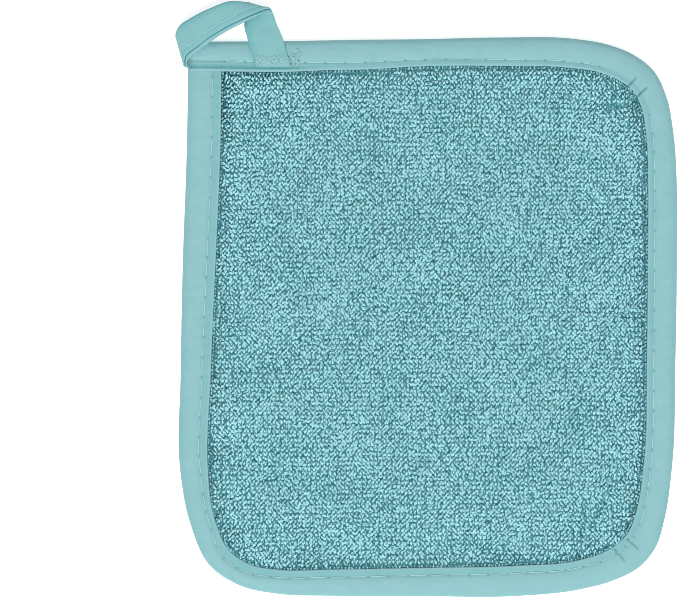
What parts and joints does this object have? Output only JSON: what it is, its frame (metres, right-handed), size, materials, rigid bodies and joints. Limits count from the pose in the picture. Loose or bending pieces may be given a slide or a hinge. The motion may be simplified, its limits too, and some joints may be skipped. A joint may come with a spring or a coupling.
{
  "type": "pot holder",
  "caption": "Terry cotton pot holder with three rounded corners and a square one, a folded tape bound round its edge and a folded hanging loop at the square corner.",
  "frame": {"origin": "middle of the whole outline, hanging loop included, on the surface the part lies on", "axes": "+Z away from that surface, out of the front face; +Y towards the edge with the loop; +X towards the right, with the loop at the top left"},
  "size_m": [0.2028, 0.241, 0.0134],
  "materials": {
    "terry": "looped cotton pile",
    "tape": "plain woven cotton bias tape"
  },
  "bodies": {
    "root": {"terry_pad": "terry", "edge_binding": "tape", "hanging_loop": "tape"}
  },
  "joints": []
}
